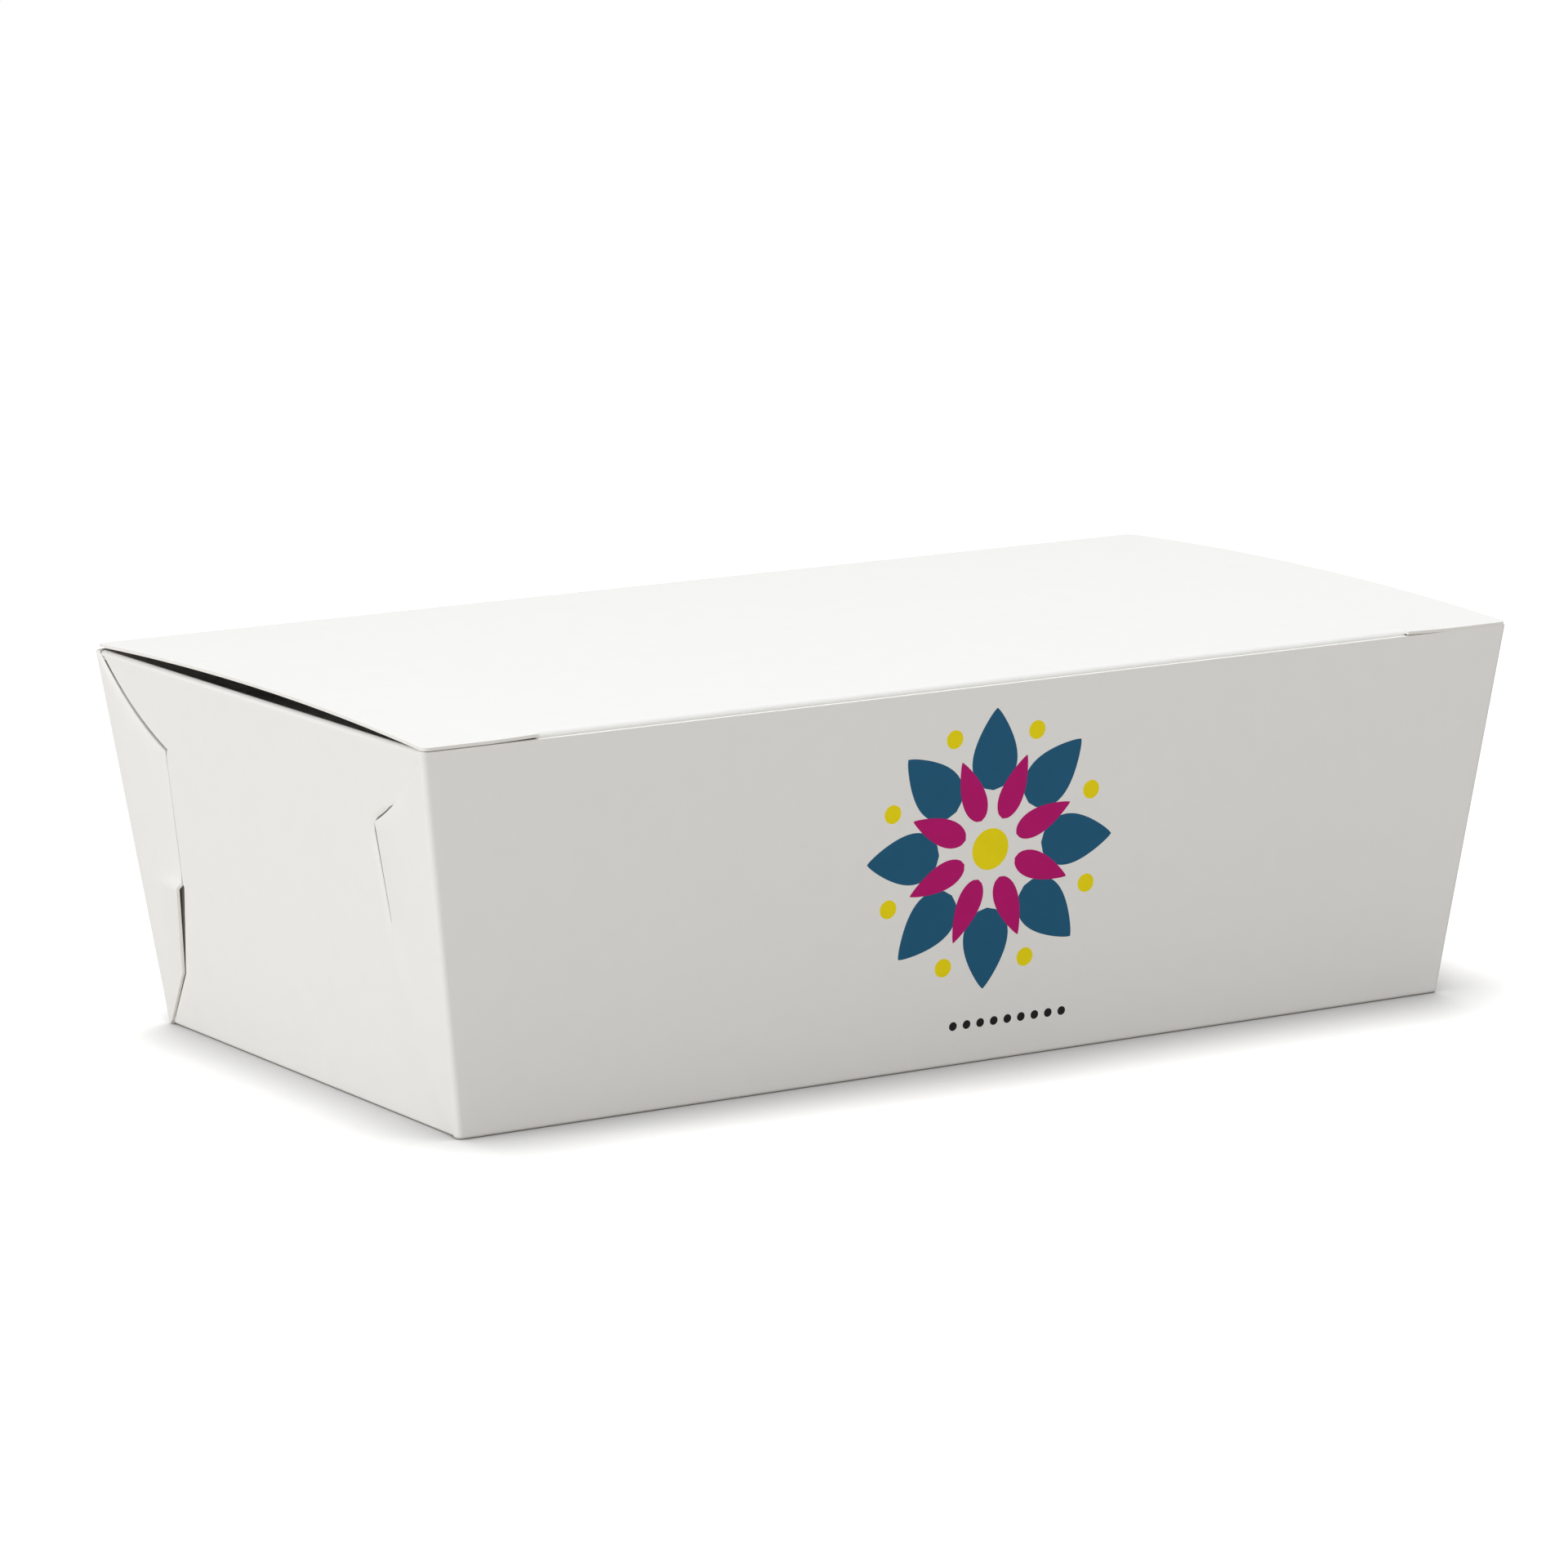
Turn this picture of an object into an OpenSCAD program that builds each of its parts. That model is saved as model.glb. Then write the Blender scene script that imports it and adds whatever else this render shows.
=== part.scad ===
// A snack box with a tuck-in lid: one blank of white board, creased, folded up and glued.
// The origin is the centre of the base's underside. +X runs along the box, the front
// wall faces -Y and +Z is up. Lengths are in millimetres, angles in degrees.

/* [Box] */
// Height of the closed box at the edges of its lid
height = 53; // [48:0.5:60]
// Length of the base
base_length = 158; // [145:1:180]
// Depth of the base, front to rear
base_depth = 82; // [74:1:96]
// How far each end wall leans out over the height
end_flare = 7.5; // [5:0.25:10]
// How far the front wall and the rear wall each lean out over the height
side_flare = 5.25; // [3.5:0.25:7]

/* [Board] */
// Thickness of the board
board = 0.45; // [0.35:0.05:0.6]
// Outer radius of the folds at the corners, the dust flaps and the tuck flap
fold_radius = 0.9; // [0.8:0.1:1.2]
// Outer radius of the folds round the base
base_fold_radius = 0.5; // [0.3:0.1:0.7]
// How far a glue flap is pressed into the end wall under it
glue_press = 0.03; // [0.01:0.01:0.06]

/* [Glue flaps] */
// Width of a glue flap at the bottom of its end, beside the base
flap_root = 0.9; // [0.8:0.1:3]
// Width of a glue flap at the top of its chamfer
flap_foot_width = 8; // [6:0.5:10]
// Height up the end wall of the top of the chamfer
flap_foot_height = 8.5; // [6:0.5:12]
// Width of a glue flap at its waist
flap_waist_width = 12.7; // [11:0.1:15]
// Height up the end wall of the waist
flap_waist_height = 22; // [16:0.5:28]
// Width of a glue flap at its shoulder, where it is widest
flap_shoulder_width = 15.6; // [13:0.1:20]
// Height up the end wall of the shoulder
flap_shoulder_height = 41; // [34:0.5:44]
// How far the cut from the shoulder up to the corner is hollowed
flap_hollow = 1.3; // [0.5:0.1:2.5]

/* [Dust flaps] */
// Length of a dust flap from its fold to its free edge
dust_length = 34; // [20:1:45]
// Angle at which a dust flap slopes down into the box
dust_droop_angle = 14; // [8:1:20]
// Space between each end of a dust flap's fold and the long wall beside it
dust_clearance = 0.9; // [0.6:0.1:2]
// How far along a dust flap its sides draw in from the fold, to clear the tuck flap
dust_shoulder = 2.5; // [2:0.5:5]
// How much narrower a dust flap gets on each side towards its free edge
dust_taper = 4; // [0.5:0.5:8]
// Radius of the free corners of a dust flap
dust_corner = 8; // [2:1:12]
// Space between a dust flap and the tuck flap in front of it
dust_gap = 0.6; // [0.4:0.1:2]

/* [Lid] */
// How far the lid bows up between its front edge and the rear crease
lid_bow = 1.4; // [0.8:0.1:3]
// How far the lid's side edges stay in from the outer faces of the ends
lid_inset = 0.3; // [0.2:0.1:1]
// Space between the lid and the top edges of the walls
lid_gap = 0.05; // [0.03:0.01:0.2]
// Radius of the lid's front corners, and how far its rear corners are cut off
lid_corner = 1; // [0.7:0.1:2]

/* [Tuck flap] */
// Depth of the tuck flap below its fold
tuck_depth = 15; // [10:0.5:18]
// Angle by which the tuck flap leans into the box more than the front wall
tuck_ease_angle = 1.5; // [1:0.25:4]
// Space between the tuck fold and the front wall
tuck_gap = 0.3; // [0.2:0.05:0.8]
// Length of the slit at each end of the tuck fold, from the end of the lid
slit_length = 17; // [10:1:24]
// Distance from the tuck fold down to the cut edge of a slit
slit_drop = 0.6; // [0.4:0.1:1.5]
// How far the ends of the tuck flap stay in from the ends of the lid
tuck_inset = 2.2; // [2:0.1:5]
// How much narrower the tuck flap gets at each end towards its free edge
tuck_taper = 6; // [3:0.5:12]
// Radius of the free corners of the tuck flap
tuck_corner = 6; // [2:0.5:8]

/* [Hidden] */

// Steps in a quarter turn of a fold or a rounded corner, and along the lid's bow
FOLD_STEPS = 6;
BOW_STEPS = 24;

top_length = base_length + 2 * end_flare;
top_depth = base_depth + 2 * side_flare;
end_lean = atan(end_flare / height);
side_lean = atan(side_flare / height);
wall_top = height - board - lid_gap;

// Reach of a cutting shape, or of a sheet that is still to be cut, past the piece
past = height / 10;

// Depth below the outer skin of the two faces of an end wall, which lies under its glue flaps
end_outer = board - glue_press;
end_inner = end_outer + board;

// Half length and half depth, at height z, of the skin that lies a given depth below the outside
function half_length(z, depth) = base_length / 2 + z * tan(end_lean) - depth / cos(end_lean);
function half_depth(z, depth) = base_depth / 2 + z * tan(side_lean) - depth / cos(side_lean);

// Points of an arc
function arc_points(centre, radius, from, to, steps) =
    [for (k = [0:steps]) let(a = from + (to - from) * k / steps) centre + radius * [cos(a), sin(a)]];

// Points from p to q along a shallow arc that is hollowed to the right by the given height
function hollow_points(p, q, hollow, steps) =
    let(
        chord = norm(q - p),
        radius = (chord * chord / 4 + hollow * hollow) / (2 * hollow),
        along = (q - p) / chord,
        right = [along[1], -along[0]],
        centre = (p + q) / 2 - right * (radius - hollow),
        half = asin(chord / 2 / radius)
    )
    [for (k = [0:steps]) let(a = half * (2 * k / steps - 1))
        centre + radius * (right * cos(a) + along * sin(a))];

// A bent sheet is drawn in section as stations, each a point of its skin and the direction from
// there into the board: one station on a bend, a whole bend, a station further on along a flat
function on_bend(centre, radius, angle) =
    [centre + radius * [cos(angle), sin(angle)], -[cos(angle), sin(angle)]];
function bend(centre, radius, from, to, steps) =
    [for (k = [0:steps]) on_bend(centre, radius, from + (to - from) * k / steps)];
function onward(station, length) =
    [station[0] + length * [station[1][1], -station[1][0]], station[1]];
function section(stations) = concat(
    [for (s = stations) s[0]],
    [for (k = [len(stations) - 1:-1:0]) stations[k][0] + board * stations[k][1]]);

// A list without its first item, and an outline drawn on one side and mirrored to the other
function rest(list) = [for (k = [1:len(list) - 1]) list[k]];
function both_sides(side) =
    concat(side, [for (k = [len(side) - 1:-1:0]) [-side[k][0], side[k][1]]]);

// Ring of points at height z: a rectangle with rounded corners
function ring(half_x, half_y, radius, z) =
    [for (quarter = [0:3])
        let(corner = [[1, 1], [-1, 1], [-1, -1], [1, -1]][quarter])
        for (p = arc_points(
            [corner[0] * (half_x - radius), corner[1] * (half_y - radius)],
            radius, 90 * quarter, 90 * quarter + 90, FOLD_STEPS))
        [p[0], p[1], z]];

// Solid between rings of as many points each, from the lowest to the highest
module loft(rings) {
    count = len(rings[0]);
    last = len(rings) - 1;
    polyhedron(
        points = [for (r = rings) for (p = r) p],
        faces = concat(
            [[for (k = [0:count - 1]) k]],
            [[for (k = [count - 1:-1:0]) last * count + k]],
            [for (r = [0:last - 1]) for (k = [0:count - 1]) let(next = (k + 1) % count)
                [r * count + next, r * count + k, (r + 1) * count + k, (r + 1) * count + next]]));
}

// Drawing in the YZ plane, carried along the box from its middle by half of the given length
module along_box(length) {
    rotate([90, 0, 90]) linear_extrude(length, center = true) children();
}

// Drawing in the XZ plane, carried the same way from the front to the rear
module across_box(depth) {
    rotate([90, 0, 0]) linear_extrude(depth, center = true) children();
}

module both_ends() {
    children();
    mirror([1, 0, 0]) children();
}

// Outer skin of the folded box, running on above the top edges of its walls
module outside() {
    top = height + past;
    loft(concat(
        [for (k = [0:FOLD_STEPS])
            let(
                a = 90 * k / FOLD_STEPS,
                z = base_fold_radius * (1 - cos(a)),
                depth = base_fold_radius * (1 - sin(a))
            )
            ring(half_length(z, depth), half_depth(z, depth), fold_radius - depth, z)],
        [ring(half_length(top, 0), half_depth(top, 0), fold_radius, top)]));
}

// Space inside the walls
module inside() {
    top = height + 2 * past;
    corner = fold_radius - board;
    loft([
        ring(half_length(board, end_inner), half_depth(board, board), corner, board),
        ring(half_length(top, end_inner), half_depth(top, board), corner, top)]);
}

// Places a drawing on the outer plane of the +X end: its x runs to the rear, its y up the
// wall from the base, and its z out of the wall
module on_end() {
    translate([base_length / 2, 0, 0]) rotate([0, end_lean, 0]) rotate([90, 0, 90]) children();
}

// Distance from the middle of an end to the edge of a glue flap that is so wide, so far up the end
function flap_edge(width, up) = base_depth / 2 + up * cos(end_lean) * tan(side_lean) - width;

// The part of an end that its two glue flaps leave bare, from the middle to one side
flap_top = wall_top / cos(end_lean);
flap_shoulder = [flap_edge(flap_shoulder_width, flap_shoulder_height), flap_shoulder_height];
flap_tip = [flap_edge(flap_root, flap_top), flap_top];
bare_side = concat(
    [
        [flap_edge(flap_root, 0), -past],
        [flap_edge(flap_root, 0), 0],
        [flap_edge(flap_foot_width, flap_foot_height), flap_foot_height],
        [flap_edge(flap_waist_width, flap_waist_height), flap_waist_height]
    ],
    hollow_points(flap_shoulder, flap_tip, flap_hollow, 2 * FOLD_STEPS),
    [[flap_tip[0], flap_top + 2 * past]]);

// What is cut away over an end wall where no glue flap lies on it
module bare_end() {
    on_end() translate([0, 0, -end_outer]) linear_extrude(past) polygon(both_sides(bare_side));
}

// The lid's bow is an arc through the rear crease and the top of the lid's front edge
crease = [top_depth / 2, height];
bow_radius = (top_depth * top_depth / 4 + lid_bow * lid_bow) / (2 * lid_bow);
bow_centre = [0, height + lid_bow - bow_radius];
crease_angle = acos(top_depth / 2 / bow_radius);
bow_past = past / bow_radius * 180 / PI;

// The tuck fold lies just behind the front wall, and the tuck flap leans from it into the box
tuck_lean = side_lean + tuck_ease_angle;
tuck_angle = acos((fold_radius + tuck_gap - half_depth(wall_top, board)) / (bow_radius - fold_radius));
tuck_centre = bow_centre + (bow_radius - fold_radius) * [cos(tuck_angle), sin(tuck_angle)];
tuck_fold = bend(tuck_centre, fold_radius, tuck_angle, 180 + tuck_lean, 2 * FOLD_STEPS);
tuck_start = tuck_fold[len(tuck_fold) - 1];
tuck_free = onward(tuck_start, tuck_depth);

// A dust flap's fold starts at this way up the end wall and turns about this centre
dust_fold_start = (wall_top - fold_radius - (end_outer + fold_radius) * sin(end_lean)) / cos(end_lean);
dust_centre = [
    half_length(wall_top - fold_radius, end_outer + fold_radius),
    wall_top - fold_radius
];

// Half width of a dust flap at its fold, and past its shoulders, where it has to be clear of the
// tuck flap's free edge on its way out
dust_fold_half = half_depth(wall_top, board) - dust_clearance;
dust_half = -tuck_free[0][0] - board - dust_gap;

// Takes the top off an end wall, where the dust flap folds away from it
module dust_relief() {
    half = dust_fold_half + dust_clearance / 2;
    on_end() translate([-half, dust_fold_start, -past]) cube([2 * half, 2 * past, 2 * past]);
}

// One dust flap, at the +X end: the fold and the flap that slopes down into the box
module dust_flap() {
    fold = bend(dust_centre, fold_radius, -end_lean, 90 + dust_droop_angle, 3 * FOLD_STEPS);
    in_wall = onward(fold[0], -fold_radius);
    free_edge = onward(fold[len(fold) - 1], dust_length);
    tip_x = free_edge[0][0];
    corner_at = [tip_x + dust_corner, dust_half - dust_taper - dust_corner];
    outline = concat(
        [
            [top_length, dust_fold_half],
            [dust_centre[0], dust_fold_half],
            [dust_centre[0] - dust_shoulder, dust_half]
        ],
        arc_points(corner_at, dust_corner, 90, 180, FOLD_STEPS));
    intersection() {
        across_box(top_depth) polygon(section(concat([in_wall], fold, [onward(free_edge, past)])));
        rotate([0, 0, -90]) linear_extrude(2 * height)
            polygon(both_sides([for (p = outline) [-p[1], p[0]]]));
    }
}

// Space above the top edges of the walls, which ends at the mitre under the rear crease
module lid_seat() {
    drop = height - wall_top;
    along_box(2 * top_length) polygon([
        crease + [2 * past, 2 * past],
        crease - [drop, drop],
        [-top_depth, wall_top],
        [-top_depth, height + 2 * past]]);
}

module tray() {
    color("#f3f3ef") {
        difference() {
            outside();
            inside();
            both_ends() bare_end();
            both_ends() dust_relief();
            lid_seat();
        }
        both_ends() dust_flap();
    }
}

lid_half = top_length / 2 - lid_inset;
fold_half = lid_half - slit_length;
tuck_half = lid_half - tuck_inset;

// The bent section of the lid between two distances from its middle, on both sides of it
module lid_strip(from, to, stations) {
    for (side = [-1, 1])
        translate([side * (from + to) / 2, 0, 0]) along_box(to - from) polygon(section(stations));
}

// What the lid is cut to, seen from above
module lid_outline() {
    side = concat(
        arc_points([lid_half - lid_corner, lid_corner - crease[0]], lid_corner, -90, 0, FOLD_STEPS),
        [[lid_half, crease[0] - lid_corner], [lid_half - lid_corner - past, crease[0] + past]]);
    linear_extrude(2 * height) polygon(both_sides(side));
}

// What the tuck flap is cut to, seen from the front
module tuck_outline() {
    root_z = tuck_start[0][1];
    corner_at = [tuck_half - tuck_taper - tuck_corner, tuck_free[0][1] + tuck_corner];
    side = concat(
        arc_points(corner_at, tuck_corner, -90, 0, FOLD_STEPS),
        [[tuck_half, root_z], [top_length, root_z], [top_length, height + 2 * past]]);
    across_box(2 * top_depth) polygon(both_sides(side));
}

// Takes off what lies behind the mitre under the rear crease
module crease_mitre() {
    along_box(2 * top_length) polygon([
        crease + [2 * past, 2 * past],
        crease - [past, past],
        crease + [2 * past, -past]]);
}

module lid() {
    bow = bend(bow_centre, bow_radius, crease_angle - bow_past, tuck_angle, BOW_STEPS);
    front_edge = on_bend(bow_centre, bow_radius, 180 - crease_angle + bow_past);
    slit_edge = onward(tuck_start, slit_drop);
    past_tuck = onward(tuck_free, past);
    color("#f6f6f3") intersection() {
        difference() {
            union() {
                along_box(2 * fold_half) polygon(section(concat(bow, rest(tuck_fold), [past_tuck])));
                lid_strip(fold_half, top_length / 2, concat(bow, [front_edge]));
                lid_strip(fold_half, top_length / 2, [slit_edge, past_tuck]);
            }
            crease_mitre();
        }
        lid_outline();
        tuck_outline();
    }
}

tray();
lid();
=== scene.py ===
"""The looks of a snack box: one blank of white board, creased, folded up and glued at its corners.

The pieces follow the box as it is put together: the base with its ends, the long walls that wrap
round the corners, the lid, the crease that carries it, and the printing. Shapes are worked out in
millimetres and laid in the CAD frame, with the origin under the middle of the base.
"""

import bmesh
import bpy
import numpy as np
from mathutils import Matrix, Vector


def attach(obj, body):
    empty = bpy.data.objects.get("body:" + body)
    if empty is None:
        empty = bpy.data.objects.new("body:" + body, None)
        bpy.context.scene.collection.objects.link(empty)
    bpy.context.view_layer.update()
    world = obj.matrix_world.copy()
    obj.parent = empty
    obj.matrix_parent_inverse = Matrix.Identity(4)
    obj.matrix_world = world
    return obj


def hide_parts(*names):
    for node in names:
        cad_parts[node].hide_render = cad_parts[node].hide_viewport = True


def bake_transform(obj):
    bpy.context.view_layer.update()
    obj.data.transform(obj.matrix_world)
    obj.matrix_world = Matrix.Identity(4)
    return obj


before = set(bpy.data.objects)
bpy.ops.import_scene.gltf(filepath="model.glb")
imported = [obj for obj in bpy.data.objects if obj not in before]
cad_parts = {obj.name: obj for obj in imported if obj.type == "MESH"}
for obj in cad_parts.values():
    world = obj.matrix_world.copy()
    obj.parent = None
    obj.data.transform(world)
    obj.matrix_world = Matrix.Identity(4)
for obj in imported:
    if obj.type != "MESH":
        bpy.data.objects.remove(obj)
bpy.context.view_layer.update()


# The camera
# A long lens a metre away, a little above the lid and well round to the left of the front wall,
# found by fitting the corners of the box to the photograph.
camera = bpy.data.cameras.new("camera")
camera.lens = 164.24
camera.sensor_width = 36
camera.clip_start = 0.05
camera.clip_end = 60
eye = bpy.data.objects.new("camera", camera)
turned = (
    Matrix.Rotation(np.radians(-31.9435), 4, "Z")
    @ Matrix.Rotation(np.radians(90 - 10.990), 4, "X")
    @ Matrix.Rotation(np.radians(-0.358), 4, "Z")
)
eye.matrix_world = Matrix.Translation(turned @ Vector((-0.0032273, 0.0311728, 0.9991177))) @ turned
bpy.context.scene.collection.objects.link(eye)
bpy.context.scene.camera = eye


# The board
# White carton board of 0.45 mm: a smooth coated face of short matted fibres, a creamier inside
# face, and a cut edge that shows the plies. Under the glue flaps and along the bottoms of the dints
# beside their edges the panel is painted dark: painted shade that stands in for the shadow in those
# slits and grooves. Every panel of the box is this one board.
board = 0.45


def fibre_group():
    """Matted fibres under a thin coating: two sizes of noise, one cloudy for the tone and one fine
    for the surface. Puts out the tinted colour and the bumped normal."""
    group = bpy.data.node_groups.new("board_fibres", "ShaderNodeTree")
    for name, kind, value in [
        ("Vector", "NodeSocketVector", None),
        ("Tone", "NodeSocketColor", (0.9, 0.9, 0.88, 1)),
        ("Cloud", "NodeSocketFloat", 0.02),
        ("Relief", "NodeSocketFloat", 0.1),
    ]:
        socket = group.interface.new_socket(name, in_out="INPUT", socket_type=kind)
        if value is not None:
            socket.default_value = value
    group.interface.new_socket("Color", in_out="OUTPUT", socket_type="NodeSocketColor")
    group.interface.new_socket("Normal", in_out="OUTPUT", socket_type="NodeSocketVector")
    put = group.nodes.new
    join = group.links.new
    entry, leave = put("NodeGroupInput"), put("NodeGroupOutput")
    cloud = put("ShaderNodeTexNoise")
    cloud.inputs["Scale"].default_value = 260
    cloud.inputs["Detail"].default_value = 4
    cloud.inputs["Roughness"].default_value = 0.6
    fibres = put("ShaderNodeTexNoise")
    fibres.inputs["Scale"].default_value = 3200
    fibres.inputs["Detail"].default_value = 3
    fibres.inputs["Distortion"].default_value = 1.2
    swing = put("ShaderNodeMath")
    swing.operation = "SUBTRACT"
    swing.inputs[1].default_value = 0.5
    amount = put("ShaderNodeMath")
    amount.operation = "MULTIPLY_ADD"
    amount.inputs[2].default_value = 1
    tint = put("ShaderNodeVectorMath")
    tint.operation = "SCALE"
    bump = put("ShaderNodeBump")
    bump.inputs["Distance"].default_value = 0.00006
    join(entry.outputs["Vector"], cloud.inputs["Vector"])
    join(entry.outputs["Vector"], fibres.inputs["Vector"])
    join(cloud.outputs["Fac"], swing.inputs[0])
    join(swing.outputs[0], amount.inputs[0])
    join(entry.outputs["Cloud"], amount.inputs[1])
    join(entry.outputs["Tone"], tint.inputs[0])
    join(amount.outputs[0], tint.inputs["Scale"])
    join(fibres.outputs["Fac"], bump.inputs["Height"])
    join(entry.outputs["Relief"], bump.inputs["Strength"])
    join(tint.outputs[0], leave.inputs["Color"])
    join(bump.outputs["Normal"], leave.inputs["Normal"])
    return group


fibres_of_board = fibre_group()


def board_finish(name, tone, cloud, relief, roughness, stretch=(1, 1, 1)):
    """Material of one face of the board: the fibres over Object coordinates, stretched as told."""
    made = bpy.data.materials.new(name)
    made.use_nodes = True
    nodes, links = made.node_tree.nodes, made.node_tree.links
    shader = nodes["Principled BSDF"]
    shader.inputs["Roughness"].default_value = roughness
    shader.inputs["Specular IOR Level"].default_value = 0.35
    place = nodes.new("ShaderNodeTexCoord")
    scale = nodes.new("ShaderNodeMapping")
    scale.inputs["Scale"].default_value = stretch
    fibres = nodes.new("ShaderNodeGroup")
    fibres.node_tree = fibres_of_board
    fibres.inputs["Tone"].default_value = (*tone, 1)
    fibres.inputs["Cloud"].default_value = cloud
    fibres.inputs["Relief"].default_value = relief
    links.new(place.outputs["Object"], scale.inputs["Vector"])
    links.new(scale.outputs["Vector"], fibres.inputs["Vector"])
    links.new(fibres.outputs["Color"], shader.inputs["Base Color"])
    links.new(fibres.outputs["Normal"], shader.inputs["Normal"])
    return made


coated_face = board_finish("board_coated_face", (0.900, 0.900, 0.884), 0.03, 0.10, 0.62)
inside_face = board_finish("board_inside_face", (0.860, 0.850, 0.800), 0.06, 0.22, 0.8)
cut_edge = board_finish("board_cut_edge", (0.880, 0.872, 0.840), 0.12, 0.5, 0.9, (0.4, 0.4, 3))
# Painted shade: a dark finish that stands in for the shadow in the slits under the glue flaps and
# at the bottoms of the dints along their edges.
painted_slit_shade = board_finish("board_glued_area", (0.20, 0.19, 0.175), 0.25, 0.5, 0.6)


def from_grids(name, grids, finishes, kinds=None):
    """An object from grids of points (rows, columns, 3) in mm: each cell of a grid is one face,
    turned so that it faces out where the columns run to the right of rows that climb. Points of
    two grids that lie in one place become one vertex, so that a fold runs on from panel to panel.
    Kinds holds, for each grid, the number of each cell's finish."""
    sizes = [grid.shape[0] * grid.shape[1] for grid in grids]
    quads = []
    for grid, start in zip(grids, np.cumsum([0] + sizes)):
        number = np.arange(grid.shape[0] * grid.shape[1]).reshape(grid.shape[:2]) + start
        quads.append(np.stack([
            number[:-1, :-1], number[:-1, 1:], number[1:, 1:], number[1:, :-1]], -1).reshape(-1, 4))
    points = np.concatenate([grid.reshape(-1, 3) for grid in grids]) / 1000
    mesh = bpy.data.meshes.new(name)
    mesh.from_pydata(points.tolist(), [], np.concatenate(quads).tolist())
    if kinds:
        numbers = np.concatenate([kind.ravel() for kind in kinds])
        mesh.polygons.foreach_set("material_index", numbers)
    joined = bmesh.new()
    joined.from_mesh(mesh)
    bmesh.ops.remove_doubles(joined, verts=joined.verts, dist=0.000002)
    joined.to_mesh(mesh)
    joined.free()
    mesh.shade_smooth()
    for finish in finishes:
        mesh.materials.append(finish)
    piece = bpy.data.objects.new(name, mesh)
    bpy.context.scene.collection.objects.link(piece)
    return piece


def lay_board(name, grids, kinds=None):
    """A panel of the blank from grids that lie on its outer face: the board's thickness goes
    inwards from it, and the cut edges are eased a little."""
    # The fourth finish is the painted shade of the slits and dints beside the glue flaps.
    finishes = coated_face, inside_face, cut_edge, painted_slit_shade, inside_face
    piece = from_grids(name, grids, finishes, kinds)
    wall = piece.modifiers.new("thickness", "SOLIDIFY")
    wall.thickness = board / 1000
    wall.offset = -1
    wall.use_even_offset = True
    wall.material_offset = 1
    wall.material_offset_rim = 2
    ease = piece.modifiers.new("eased_edges", "BEVEL")
    ease.width = 0.00007
    ease.segments = 2
    ease.limit_method = "ANGLE"
    ease.angle_limit = np.radians(50)
    ease.harden_normals = True
    return piece


# The base, the ends and the dust flaps
# One run of the blank: dust flap, end wall, base, end wall, dust flap. It is folded up inside the
# long walls, so each end lies one board deeper than the glue flaps that are stuck on it, pressed
# 0.03 mm into the glue.
base_length, base_depth, box_height = 158, 82, 53
end_slope, side_slope = 7.5 / box_height, 5.25 / box_height
end_lean, side_lean = np.arctan(end_slope), np.arctan(side_slope)
wall_top = 52.5
corner_radius, base_radius = 0.9, 0.5
end_depth = board - 0.03


def end_skin(z, depth):
    """Half length of the box at height z, less the depth of a skin below its outer plane."""
    return base_length / 2 + z * end_slope - depth / np.cos(end_lean)


def side_skin(z, depth):
    """Half depth of the box at height z, less the depth of a skin below its outer plane."""
    return base_depth / 2 + z * side_slope - depth / np.cos(side_lean)


def half_turned(grid):
    """The grid turned by half a turn about the upright axis, which keeps its outside outside."""
    return grid * np.array([-1, -1, 1])


foot_up, waist_up, shoulder_up = 8.5, 22, 41
tip_width, flap_hollow = 1.05, 1.3
flap_outline = np.array([[0, tip_width], [foot_up, 8], [waist_up, 12.7], [shoulder_up, 15.6]])


def flap_width(up):
    """Width of a glue flap so far up the end: straight cuts up to the shoulder, and above it a
    hollowed arc up to a narrow tip at the top edge of the wall."""
    shoulder, tip = flap_outline[-1], np.array([wall_top / np.cos(end_lean), tip_width])
    chord = np.hypot(*(tip - shoulder))
    radius = (chord ** 2 / 4 + flap_hollow ** 2) / (2 * flap_hollow)
    onwards = (tip - shoulder) / chord
    inwards = np.array([onwards[1], -onwards[0]])
    centre = (shoulder + tip) / 2 - inwards * (radius - flap_hollow)
    half = np.arcsin(chord / 2 / radius)
    swing = np.linspace(-half, half, 25)[:, None]
    arc = centre + radius * (inwards * np.cos(swing) + onwards * np.sin(swing))
    cut = np.concatenate([flap_outline, arc[1:]])
    return np.interp(up, cut[:, 0], cut[:, 1])


def free_edge(z):
    """Distance from the middle of an end to the free edge of a glue flap at height z."""
    return side_skin(z, 0) - flap_width(z / np.cos(end_lean))


foot, waist, shoulder_level = np.array([foot_up, waist_up, shoulder_up]) * np.cos(end_lean)
wall_levels = np.concatenate([
    np.linspace(base_radius, foot, 14), np.linspace(foot, waist, 24)[1:],
    np.linspace(waist, shoulder_level, 18)[1:], np.linspace(shoulder_level, wall_top, 30)[1:]])

base_end = end_skin(0, base_radius) - (corner_radius - base_radius)
base_side = side_skin(0, base_radius)
end_half, dust_notch, dust_fold_half, dust_half = 45.55, 45.1, 44.85, 42.5
dust_length, dust_droop, dust_radius = 34, np.radians(14), 0.6
dust_shoulder, dust_taper, dust_corner = 2.5, 4, 8
end_bow = 0.25
dust_centre = np.array([
    end_skin(wall_top - dust_radius, end_depth + dust_radius), wall_top - dust_radius])


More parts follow.
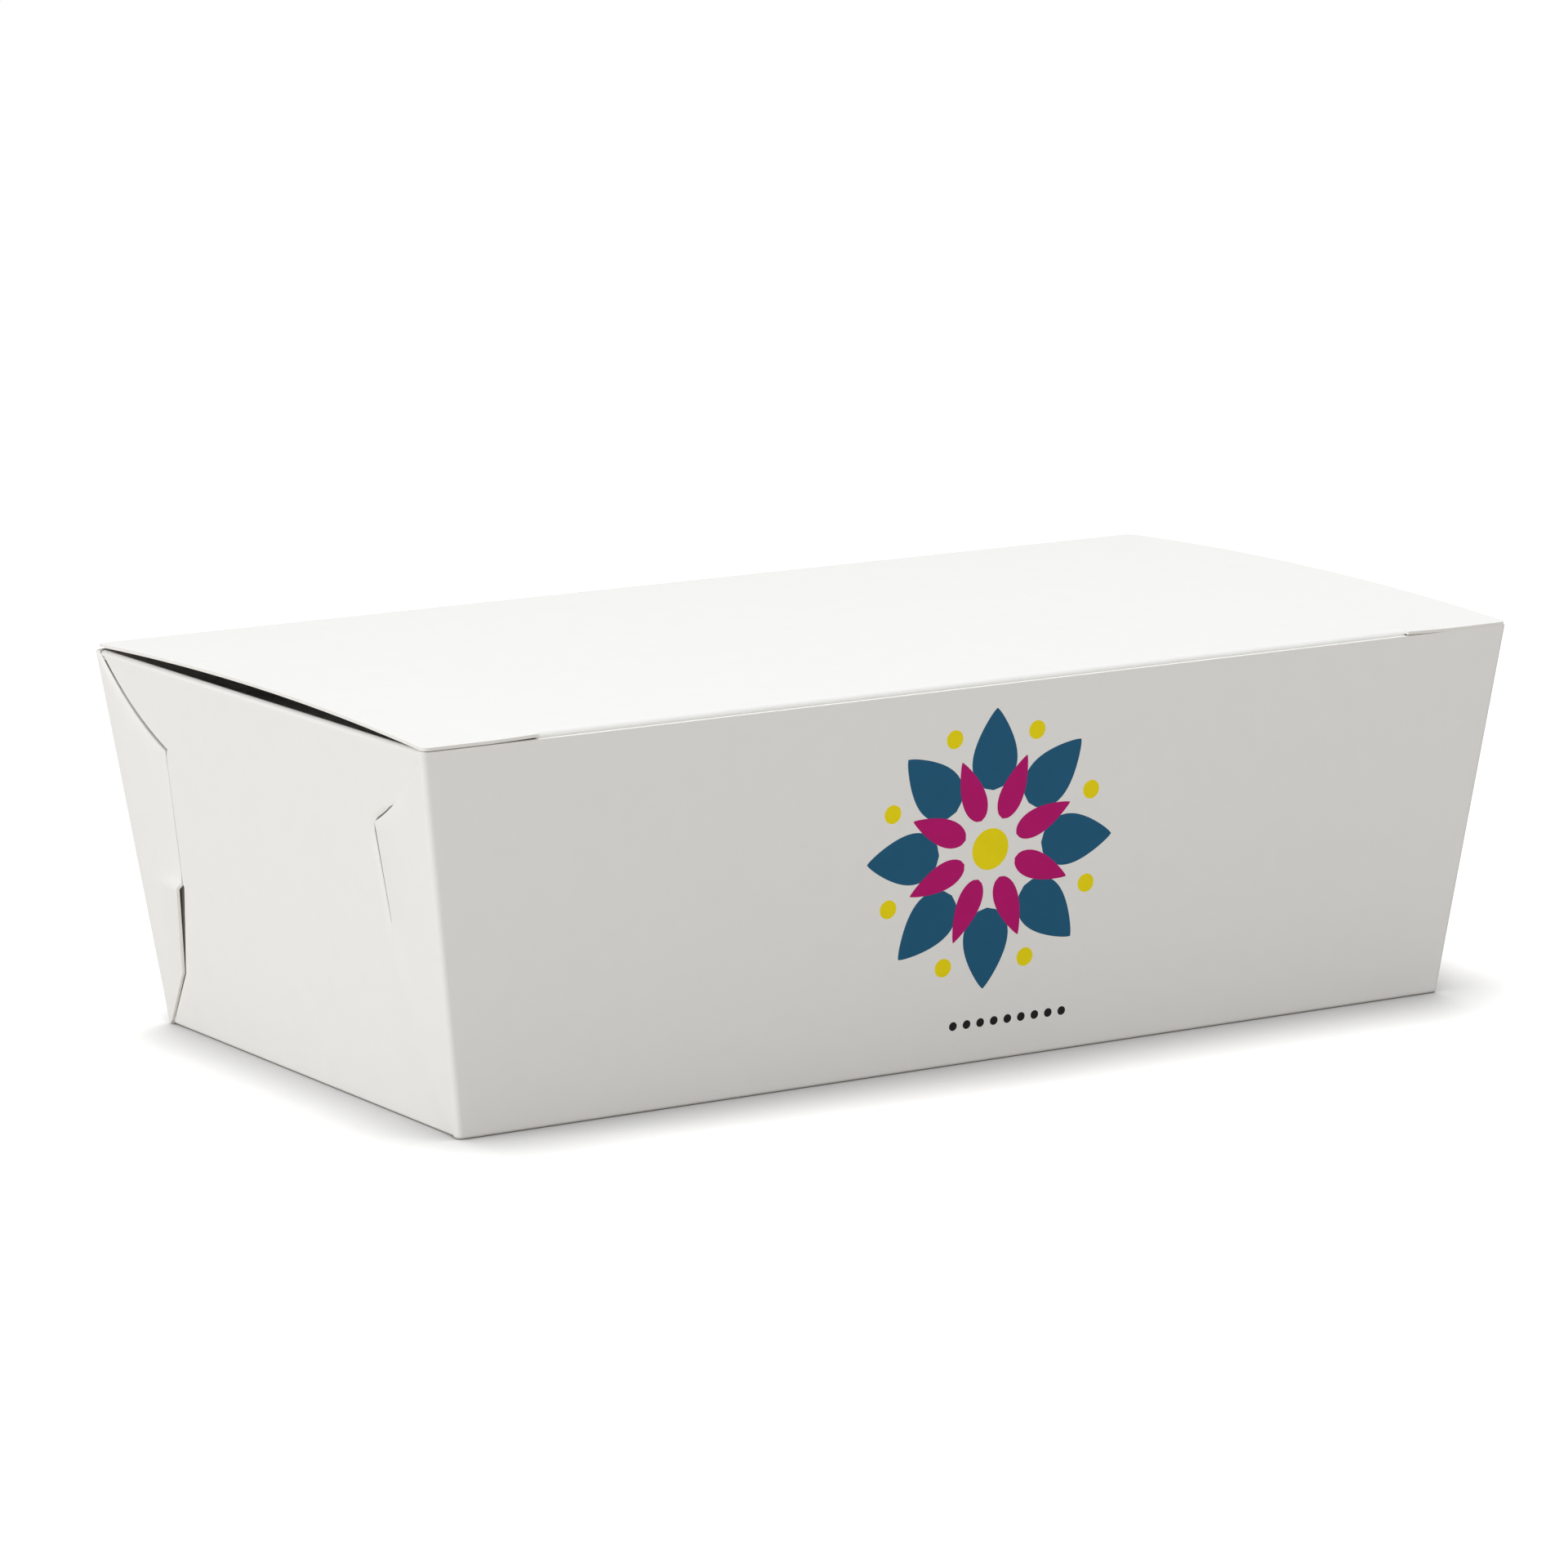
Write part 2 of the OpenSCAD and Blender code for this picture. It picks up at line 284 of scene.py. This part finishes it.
def end_columns(z, wall_end_z, line):
    """Places of the columns across one half of an end at heights z, from the middle outwards, and
    how deep the wall is dinted there. The columns follow the glue flap's edge, and the dint runs
    along it, by a list of (way up, depth, width)."""
    half = base_side + (end_half - base_side) * z / wall_end_z
    edge = free_edge(z)
    at, depths, widths = np.transpose(line)
    depth = np.interp(z / np.cos(end_lean), at, depths)
    slope = (free_edge(z + 0.05) - free_edge(z - 0.05)) / 0.1
    wide = np.interp(z / np.cos(end_lean), at, widths) * np.sqrt(1 + slope ** 2)
    lap = 0.2
    covered = edge + lap
    spare = (half - covered) / (end_half - free_edge(wall_end_z) - lap)
    to_line = (edge - wide)[:, None] * np.linspace(0, 1, 19)[1:]
    in_line = np.stack([edge - 0.8 * wide, edge - 0.01, edge + 0.05, covered], -1)
    fold_parts = end_half - np.array([dust_fold_half, dust_notch, end_half])
    under_flap = half[:, None] - spare[:, None] * fold_parts
    places = np.concatenate([to_line, in_line, under_flap], 1)
    dints = np.zeros(places.shape)
    last = to_line.shape[1]
    dints[:, last:last + 3] = depth[:, None]
    return places, dints


def end_run(sag, lines):
    """Grids of half the base, an end wall and a dust flap, and the finish of each cell. The run's
    section is an arc from facing down to facing out of the end, a leaning wall that is hollow in
    its middle, an arc over the top edge, and a flap that falls away as a parabola, by the given
    sag below its chord. The wall is dinted along the edges of its two glue flaps."""
    fold_share = np.cos(end_lean) - (1 - np.sin(end_lean)) * end_slope
    fold = (end_skin(0, end_depth) - base_end) / fold_share
    facing = np.linspace(-np.pi / 2, -end_lean, 8)
    fold_x, fold_z = base_end + fold * np.cos(facing), fold + fold * np.sin(facing)
    wall_end = dust_centre + dust_radius * np.array([np.cos(end_lean), -np.sin(end_lean)])
    wall_z = wall_levels[(wall_levels > fold_z[-1] + 0.1) & (wall_levels < wall_end[1] - 0.1)]
    z = np.concatenate([fold_z, wall_z, wall_end[1:]])
    x = np.concatenate([fold_x, end_skin(wall_z, end_depth), wall_end[:1]])
    (left, left_dint), (right, right_dint) = (end_columns(z, wall_end[1], line) for line in lines)
    y = np.concatenate([-left[:, ::-1], 0 * left[:, :1], right], 1)
    dint = np.concatenate([left_dint[:, ::-1], 0 * left[:, :1], right_dint], 1)
    wall = np.stack(np.broadcast_arrays(x[:, None], y, z[:, None]), -1)
    hollow = end_bow * np.sin(np.pi * z / wall_end[1])[:, None]
    wall[..., 0] -= dint + hollow * (1 - (y / y[:, -1:]) ** 2)
    base = np.stack(np.broadcast_arrays(np.linspace(0, base_end, 25)[:, None], y[:1], 0.0), -1)
    top_row = y[-1]

    ear_z = np.linspace(wall_end[1], wall_top, 3)
    ears = [np.stack(np.broadcast_arrays(
        end_skin(ear_z, end_depth)[:, None], top_row[None, pair], ear_z[:, None]), -1)
        for pair in (slice(0, 2), slice(-2, None))]

    over = np.linspace(-end_lean, np.pi / 2 + dust_droop, 19)
    over_x = dust_centre[0] + dust_radius * np.cos(over)
    over_z = dust_centre[1] + dust_radius * np.sin(over)
    run = dust_length * np.cos(dust_droop)
    round_off = np.linspace(0, np.pi / 2, 9)
    shoulder = over_x[-1] - dust_centre[0] + dust_shoulder
    corner = run - dust_corner
    along = np.concatenate([
        np.linspace(0, shoulder, 5), np.linspace(shoulder, corner, 20)[1:],
        corner + dust_corner * np.sin(round_off[1:])])[1:]
    over_half = np.full(len(over), dust_fold_half)
    far_half = dust_half - dust_taper
    rounded = np.sqrt(np.clip(dust_corner ** 2 - (along - corner) ** 2, 0, None))
    flap_half = np.where(
        along <= corner,
        np.interp(along, [0, shoulder, corner], [dust_fold_half, dust_half, far_half]),
        far_half - dust_corner + rounded)
    flap_x = over_x[-1] - along
    flap_z = over_z[-1] - along * np.tan(dust_droop) - sag * (along / run) * (1 - along / run) * 4
    x = np.concatenate([over_x, flap_x])
    z = np.concatenate([over_z, flap_z])
    half = np.concatenate([over_half, flap_half])
    middle = top_row[2:-2] / dust_fold_half
    flap = np.stack(np.broadcast_arrays(x[:, None], half[:, None] * middle[None], z[:, None]), -1)
    grids = [base, wall, *ears, flap]
    kinds = [np.zeros((grid.shape[0] - 1, grid.shape[1] - 1), int) for grid in grids]
    # Cells under the glue flaps and at the bottoms of the dints take the painted shade finish,
    # which stands in for the shadow there.
    glued = slice(len(facing), -2)
    kinds[1][glued, :6] = kinds[1][glued, -6:] = 3
    return grids, kinds


# Each line is the edge of a glue flap, as (way up, depth of the dint, width of the dint).
slit_line = [
    (0, 0, 0.06), (9, 0.1, 0.2), (12, 0.15, 0.25), (21.6, 0.3, 0.4), (21.9, 0, 0.06),
    (40.9, 0, 0.06), (41.3, 0.45, 0.65), (48, 0.4, 0.55), (51.8, 0.3, 0.45)]
shoulder_line = [
    (0, 0, 0.06), (22.5, 0, 0.06), (26, 0.06, 0.3), (38, 0.12, 0.6), (40.5, 0.12, 0.6),
    (40.9, 0, 0.06), (41.3, 0, 0.06), (41.6, 0.12, 0.5), (44, 0.12, 0.5), (44.5, 0, 0.06),
    (48, 0, 0.06)]
right_run, right_kinds = end_run(1.8, (shoulder_line, slit_line))
left_run, left_kinds = end_run(2.2, (slit_line, shoulder_line))
base_and_ends = lay_board(
    "base_and_ends", right_run + [half_turned(grid) for grid in left_run], right_kinds + left_kinds)
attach(base_and_ends, "tray")


# The long walls and their glue flaps
# The front wall and the rear wall each run on round the corners into two glue flaps, which are
# stuck on the outside of the end walls. Their free edges are pressed flat above the waist, and
# spring up a little below it. Both walls bow out a little in their middle.
flap_press = 0.52
front_bow, rear_bow = 0.15, 0.1
rear_wall_top = 52.58


def stand_off(up, across, lower):
    """How far a glue flap stands off its place: pressed flush with the end at its free edge above
    the waist, and sprung up by the given amount below it. Both grow with the cube of the way
    across to the free edge. A flap that is hardly sprung goes from the one to the other slowly."""
    onset = 0.4 if lower > 0.2 else 6
    climb = np.clip((up - foot_up) / (waist_up - foot_up), 0, 1)
    hump = np.clip((waist_up - up) / onset, 0, 1) * climb
    press = np.clip((up - 21.8) / onset, 0, 1) - 0.3 * np.clip((up - 40.5) / 2, 0, 1)
    return (lower * hump - flap_press * press) * across ** 3


def long_wall(top, left, right, bow):
    """Grid of a front wall with its glue flaps, seen from outside: rows climb round the base fold
    and up the leaning wall, and columns run from the left flap's free edge round the corner, along
    the wall, and round the other corner. The wall stops at the given top and bows out by the given
    amount in its middle, and left and right tell how far its flaps spring up."""
    turn = np.linspace(0, np.pi / 2, 8)
    z = np.concatenate([base_radius * (1 - np.cos(turn)), wall_levels[1:]])
    depth = np.concatenate([base_radius * (1 - np.sin(turn)), np.zeros(len(z) - len(turn))])
    length, width = end_skin(z, depth), side_skin(z, depth)
    radius = corner_radius - depth
    up = z / np.cos(end_lean)
    facing = np.linspace(0, np.pi / 2, 9)[1:-1]
    across = np.linspace(0, 1, 13)[1:]
    free = free_edge(z)

    def corner_and_flap(lower):
        corner_x = (length - radius)[:, None] + radius[:, None] * np.sin(facing)
        corner_y = (width - radius)[:, None] + radius[:, None] * np.cos(facing)
        start = (width - radius)[:, None]
        flap_y = np.concatenate([start, start + (free[:, None] - start) * across], 1)
        lift = stand_off(up[:, None], np.concatenate([[0], across])[None], lower)
        flap_x = length[:, None] + lift * np.cos(end_lean)
        flap_z = z[:, None] - lift * np.sin(end_lean)
        xs = np.concatenate([corner_x, flap_x], 1)
        ys = -np.concatenate([corner_y, flap_y], 1)
        zs = np.concatenate([np.broadcast_to(z[:, None], corner_x.shape), flap_z], 1)
        return np.stack([xs, ys, zs], -1)

    share = np.linspace(-1, 1, 97)
    level = np.minimum(z, top)
    straight_x = (end_skin(level, depth) - radius)[:, None] * share
    out = bow * np.sin(np.pi * level / box_height)[:, None] * (1 - share ** 2)
    straight = np.stack(np.broadcast_arrays(
        straight_x, -side_skin(level, depth)[:, None] - out, level[:, None]), -1)
    left_half = corner_and_flap(left)[:, ::-1] * np.array([-1, 1, 1])
    return np.concatenate([left_half, straight, corner_and_flap(right)], 1)


front_wall = lay_board("front_wall", [long_wall(wall_top, 0.05, 0.3, front_bow)])
rear_wall = lay_board("rear_wall", [half_turned(long_wall(rear_wall_top, 0.1, 0.5, rear_bow))])
for wall in (front_wall, rear_wall):
    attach(wall, "tray")
for panel in (base_and_ends, front_wall, rear_wall):
    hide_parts("tray")


# The lid and its tuck flap
# The lid bows up a little between its crease and the front wall, because the tuck flap pushes it.
# A slit at each end of the tuck fold lets the lid's shoulders lie on the front wall.
lid_half, fold_half, lid_corner, lid_bow = 86.2, 69.2, 1, 1.4
front_rise, crease_rise, left_rise, shoulder_drop = 0.19, 0.3, 0.08, 0.17
crease_at = np.array([46.25, box_height + crease_rise])
bow_radius = (crease_at[0] ** 2 + lid_bow ** 2) / (2 * lid_bow)
bow_centre_z = box_height + lid_bow - bow_radius
crease_radius = 0.55
tuck_depth, tuck_corner, tuck_half, tuck_taper = 15, 6, 78, 6
slit_drop, tuck_curl, tuck_gap = 0.6, 0.4, 0.3
tuck_lean = side_lean + np.radians(1.5)


def on_bow(angle):
    """Points (y, z) of the lid's skin: an arc over the box, lifted at the front edge and at the
    crease, each by an amount that dies away with the square of the way to the other."""
    y, z = bow_radius * np.cos(angle), bow_centre_z + bow_radius * np.sin(angle)
    back = (y + crease_at[0]) / (2 * crease_at[0])
    return np.stack([y, z + front_rise * (1 - back) ** 2 + crease_rise * back ** 2], -1)


def tilted(grid):
    """The grid lifted towards the left end, where the lid sits a touch higher."""
    return grid - np.array([0, 0, 1]) * grid[..., :1] * left_rise / lid_half


crease_angle = np.arccos(crease_at[0] / bow_radius)
crease_bend = crease_angle + side_lean
lid_start = crease_angle + crease_radius * np.tan(crease_bend / 2) / bow_radius
tuck_fold_at = corner_radius + tuck_gap - side_skin(wall_top, board)
tuck_angle = np.arccos(tuck_fold_at / (bow_radius - corner_radius))


def lid_panels():
    """Grids of the lid. Rows climb from the tuck flap's free edge over the tuck fold and back
    along the bow to the rear crease; columns run from left to right as seen from the front. The
    middle has the whole section, the tuck flap's ends stop below the slits, and the shoulders run
    on to the front edge."""
    outwards = np.array([np.cos(tuck_angle), np.sin(tuck_angle)])
    fold_centre = on_bow(tuck_angle) - corner_radius * outwards
    facing = np.linspace(np.pi + tuck_lean, tuck_angle, 13)
    fold = fold_centre + corner_radius * np.stack([np.cos(facing), np.sin(facing)], -1)
    down = np.array([np.sin(tuck_lean), -np.cos(tuck_lean)])
    round_off = np.linspace(0, np.pi / 2, 9)
    corner_drop = tuck_depth - tuck_corner
    drop = np.concatenate([
        corner_drop + tuck_corner * np.cos(round_off), np.linspace(corner_drop, slit_drop, 12)[1:]])
    curl = np.outer(tuck_curl * (drop / tuck_depth) ** 2, [1, 0])
    flap = fold[0] + drop[:, None] * down + curl
    bow = on_bow(np.linspace(tuck_angle, lid_start, 70)[1:])
    middle_run = np.concatenate([flap, fold, bow])
    middle_x = np.linspace(-fold_half, fold_half, 57)
    middle = np.stack(np.broadcast_arrays(
        middle_x[None], middle_run[:, :1], middle_run[:, 1:]), -1)

    rounded = np.sqrt(np.clip(tuck_corner ** 2 - (drop - corner_drop) ** 2, 0, None))
    reach = np.where(
        drop >= corner_drop, tuck_half - tuck_corner + rounded,
        tuck_half + tuck_taper * (corner_drop - drop) / corner_drop)
    share = np.linspace(0, 1, 13)
    end_x = fold_half + (reach - fold_half)[:, None] * share
    tuck_end = np.stack(np.broadcast_arrays(end_x, flap[:, :1], flap[:, 1:]), -1)

    front_angle = np.pi - crease_angle
    turn = np.linspace(0, np.pi / 2, 7)
    angles = np.concatenate([
        front_angle - lid_corner * (1 - np.cos(turn)) / bow_radius,
        np.linspace(tuck_angle, lid_start, 70)])
    shoulder_run = on_bow(angles)
    width = np.full(len(angles), lid_half)
    width[:7] = lid_half - lid_corner + lid_corner * np.sin(turn)
    from_crease = crease_at[0] - shoulder_run[:, 0]
    width = np.minimum(width, lid_half - lid_corner + from_crease)
    shoulder_x = fold_half + (width - fold_half)[:, None] * share
    drop_down = shoulder_drop * (from_crease / (2 * crease_at[0])) ** 6
    laid_down = np.clip(drop_down, 0, None)[:, None] * np.clip(2.5 * share, 0, 1)
    shoulder_z = shoulder_run[:, 1:] - laid_down
    shoulder = np.stack(np.broadcast_arrays(shoulder_x, shoulder_run[:, :1], shoulder_z), -1)
    other = [grid[:, ::-1] * np.array([-1, 1, 1]) for grid in (tuck_end, shoulder)]
    return [tilted(grid) for grid in (middle, tuck_end, shoulder, *other)]


lid = lay_board("lid_and_tuck_flap", lid_panels())
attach(lid, "lid")
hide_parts("lid")


# The rear crease
# The board that carries the lid: a creased strip between the rear wall and the lid, along the
# hinge, laid in its closed shape.
def crease_strip():
    """A closed strip: its section is an arc from facing out of the rear wall to facing out of the
    lid, with the board's thickness inside it, carried along the box. Gives its grid and where its
    section meets the wall and the lid."""
    reach = crease_radius * np.tan(crease_bend / 2)
    wall_end = crease_at - reach * np.array([np.sin(side_lean), np.cos(side_lean)])
    centre = wall_end - crease_radius * np.array([np.cos(side_lean), -np.sin(side_lean)])
    facing = np.linspace(crease_angle, -side_lean, 11)
    way = np.stack([np.cos(facing), np.sin(facing)], -1)
    outer, inner = centre + crease_radius * way, centre + (crease_radius - board) * way
    ring = np.concatenate([outer, inner[::-1]])
    strip_half = 85.1
    x = np.linspace(-strip_half, strip_half, 41)
    strip = np.stack(np.broadcast_arrays(x[None], ring[:, :1], ring[:, 1:]), -1)
    return tilted(strip), wall_end, outer[0]


strip, wall_end, lid_end = crease_strip()
crease = from_grids("lid_crease", [np.concatenate([strip, strip[:1]])], [coated_face])
closed = bmesh.new()
closed.from_mesh(crease.data)
bmesh.ops.holes_fill(closed, edges=[edge for edge in closed.edges if edge.is_boundary], sides=0)
bmesh.ops.recalc_face_normals(closed, faces=closed.faces)
closed.to_mesh(crease.data)
closed.free()
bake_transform(crease)


# The printing
# Flat inks on the front wall: a plain flower of eight petals, and a short row of dots below it.
# Ink has next to no thickness, so each field is a film on the board's own face.
flower_u, flower_v, dot_circle = 1.4, 30, 17.2
first_ink, second_ink = 0.012, 0.024


def on_front(u, v, proud):
    """Point just proud of the front wall's outer face, u to the right of its middle and v up the
    wall."""
    z = v * np.cos(side_lean)
    share = u / (end_skin(z, 0) - corner_radius)
    out = front_bow * np.sin(np.pi * z / box_height) * (1 - share ** 2)
    return np.stack([u, -side_skin(z, 0) - out - proud, z + 0 * u], -1)


def ink(name, colour):
    """Flat printing ink: one colour, a touch smoother than the board, broken up by its fibres."""
    made = bpy.data.materials.new(name)
    made.use_nodes = True
    nodes, links = made.node_tree.nodes, made.node_tree.links
    shader = nodes["Principled BSDF"]
    shader.inputs["Roughness"].default_value = 0.5
    shader.inputs["Specular IOR Level"].default_value = 0.2
    place = nodes.new("ShaderNodeTexCoord")
    fibres = nodes.new("ShaderNodeGroup")
    fibres.node_tree = fibres_of_board
    fibres.inputs["Tone"].default_value = (*colour, 1)
    fibres.inputs["Cloud"].default_value = 0.12
    fibres.inputs["Relief"].default_value = 0.06
    links.new(place.outputs["Object"], fibres.inputs["Vector"])
    links.new(fibres.outputs["Color"], shader.inputs["Base Color"])
    links.new(fibres.outputs["Normal"], shader.inputs["Normal"])
    return made


def petals(count, first, near, far, width, proud):
    """Petals round the flower's centre: each runs from near to far along its own ray, and its
    half width follows the sine of the share of the way, raised to a power, so that it is full
    inside and pointed outside."""
    share = np.linspace(0.0, 1.0, 33)
    out = near + (far - near) * share
    wide = width * np.sin(np.pi * share ** (2 / 3)) ** 0.8
    wide[[0, -1]] = 0.02
    side = np.linspace(-1, 1, 9)
    grids = []
    for k in range(count):
        ray = first + 2 * np.pi * k / count
        along, across = out[:, None], wide[:, None] * side
        u = flower_u + along * np.sin(ray) + across * np.cos(ray)
        v = flower_v + along * np.cos(ray) - across * np.sin(ray)
        grids.append(on_front(u, v, proud))
    return grids


def discs(centres, radius):
    """Round dots: rings of points that shrink evenly to the middle."""
    turn = np.linspace(0, 2 * np.pi, 33)
    ring = np.linspace(radius, 0, 5)[:, None]
    return [
        on_front(u + ring * np.sin(turn), v + ring * np.cos(turn), first_ink) for u, v in centres]


def print_film(name, grids, finish):
    """One field of ink: its grids as a film whose faces look out of the front wall."""
    film = from_grids(name, grids, [finish])
    facing = np.zeros(3 * len(film.data.polygons), np.float32)
    film.data.polygons.foreach_get("normal", facing)
    if facing[1::3].mean() > 0:
        film.data.flip_normals()
    film.data.shade_flat()
    thin = film.modifiers.new("film", "SOLIDIFY")
    thin.thickness = 0.00003
    thin.offset = -1
    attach(film, "tray")


around = np.pi / 8 + np.arange(8) * np.pi / 4
circle = [(flower_u + dot_circle * np.sin(a), flower_v + dot_circle * np.cos(a)) for a in around]
row = [(-3 + 2.2 * k, 5.6) for k in range(9)]
print_film(
    "print_outer_petals", petals(8, 0, 8.2, 19.6, 3.6, first_ink),
    ink("ink_deep_blue", (0.0107, 0.1075, 0.2157)))
print_film(
    "print_inner_petals", petals(8, np.pi / 8, 4.4, 13.6, 1.9, second_ink),
    ink("ink_magenta", (0.507, 0.001, 0.163)))
print_film(
    "print_yellow_dots", discs(circle, 1.3) + discs([(flower_u, flower_v)], 2.9),
    ink("ink_yellow", (0.922, 0.768, 0.001)))
print_film("print_row_of_dots", discs(row, 0.62), ink("ink_black", (0.012, 0.012, 0.013)))


# The table it stands on and the light
# A wide pale sheet that is white to the camera and keeps the box's shadow. Near the box its colour
# is darkened by ambient occlusion, a painted contact shade where the box meets it. It throws a
# softer light back up under the leaning walls; soft lamps overhead, to the left and in front.
floor_mesh = bpy.data.meshes.new("floor")
floor_mesh.from_pydata([(-9, -9, 0), (9, -9, 0), (9, 9, 0), (-9, 9, 0)], [], [(0, 1, 2, 3)])
floor = bpy.data.objects.new("floor", floor_mesh)
floor.location = (0, 0, -0.00003)
bpy.context.scene.collection.objects.link(floor)
paper = bpy.data.materials.new("floor_paper")
paper.use_nodes = True
nodes, links = paper.node_tree.nodes, paper.node_tree.links
nodes.clear()
near, far, bounce = (
    nodes.new("ShaderNodeBsdfDiffuse"), nodes.new("ShaderNodeEmission"),
    nodes.new("ShaderNodeBsdfDiffuse"))
# The ambient occlusion darkens the sheet's colour near the box: painted contact shade.
contact, shade = nodes.new("ShaderNodeAmbientOcclusion"), nodes.new("ShaderNodeMath")
contact.inputs["Distance"].default_value = 0.0185
contact.samples = 16
shade.operation = "MULTIPLY_ADD"
shade.inputs[1].default_value = 1.12
shade.inputs[2].default_value = 0.2
links.new(contact.outputs["AO"], shade.inputs[0])
links.new(shade.outputs[0], near.inputs["Color"])
far.inputs["Color"].default_value = (1, 1, 1, 1)
bounce.inputs["Color"].default_value = (0.51, 0.485, 0.452, 1)
spot, away, fade = (
    nodes.new("ShaderNodeTexCoord"), nodes.new("ShaderNodeVectorMath"),
    nodes.new("ShaderNodeMapRange"))
away.operation = "LENGTH"
fade.inputs["From Min"].default_value = 0.25
fade.inputs["From Max"].default_value = 0.6
links.new(spot.outputs["Object"], away.inputs[0])
links.new(away.outputs["Value"], fade.inputs["Value"])
ground = nodes.new("ShaderNodeMixShader")
links.new(fade.outputs["Result"], ground.inputs["Fac"])
links.new(near.outputs[0], ground.inputs[1])
links.new(far.outputs[0], ground.inputs[2])
path, either, choice, sheet_out = (
    nodes.new("ShaderNodeLightPath"), nodes.new("ShaderNodeMath"),
    nodes.new("ShaderNodeMixShader"), nodes.new("ShaderNodeOutputMaterial"))
either.operation = "MAXIMUM"
links.new(path.outputs["Is Camera Ray"], either.inputs[0])
links.new(path.outputs["Is Transmission Ray"], either.inputs[1])
links.new(either.outputs[0], choice.inputs["Fac"])
links.new(bounce.outputs[0], choice.inputs[1])
links.new(ground.outputs[0], choice.inputs[2])
links.new(choice.outputs[0], sheet_out.inputs["Surface"])
floor_mesh.materials.append(paper)

world = bpy.data.worlds.new("studio")
bpy.context.scene.world = world
world.use_nodes = True
nodes, links = world.node_tree.nodes, world.node_tree.links
nodes.clear()
shine, backdrop = nodes.new("ShaderNodeBackground"), nodes.new("ShaderNodeBackground")
shine.inputs["Strength"].default_value = 0.36
backdrop.inputs["Color"].default_value = (1, 1, 1, 1)
path, either, choice, sky = (
    nodes.new("ShaderNodeLightPath"), nodes.new("ShaderNodeMath"),
    nodes.new("ShaderNodeMixShader"), nodes.new("ShaderNodeOutputWorld"))
either.operation = "MAXIMUM"
links.new(path.outputs["Is Camera Ray"], either.inputs[0])
links.new(path.outputs["Is Transmission Ray"], either.inputs[1])
links.new(either.outputs[0], choice.inputs["Fac"])
links.new(shine.outputs[0], choice.inputs[1])
links.new(backdrop.outputs[0], choice.inputs[2])
links.new(choice.outputs[0], sky.inputs["Surface"])


def soft_lamp(name, place, size, watts):
    """A square soft box at a place in metres, turned to face the box."""
    light = bpy.data.lights.new(name, "AREA")
    light.size = size
    light.energy = watts
    lamp = bpy.data.objects.new(name, light)
    lamp.location = place
    lamp.rotation_euler = (-Vector(place)).to_track_quat("-Z", "Y").to_euler()
    bpy.context.scene.collection.objects.link(lamp)


soft_lamp("lamp_overhead", (0.1, 0.4, 2.0), 1.6, 28.4)
soft_lamp("lamp_left", (-2.0, 0.3, 0.45), 0.9, 17.4)
soft_lamp("lamp_front_left", (-1.0, -1.8, 1.0), 1.2, 13.4)
soft_lamp("lamp_front_right", (1.4, -1.6, 1.0), 1.2, 5.4)

bpy.context.scene.view_settings.view_transform = "Standard"
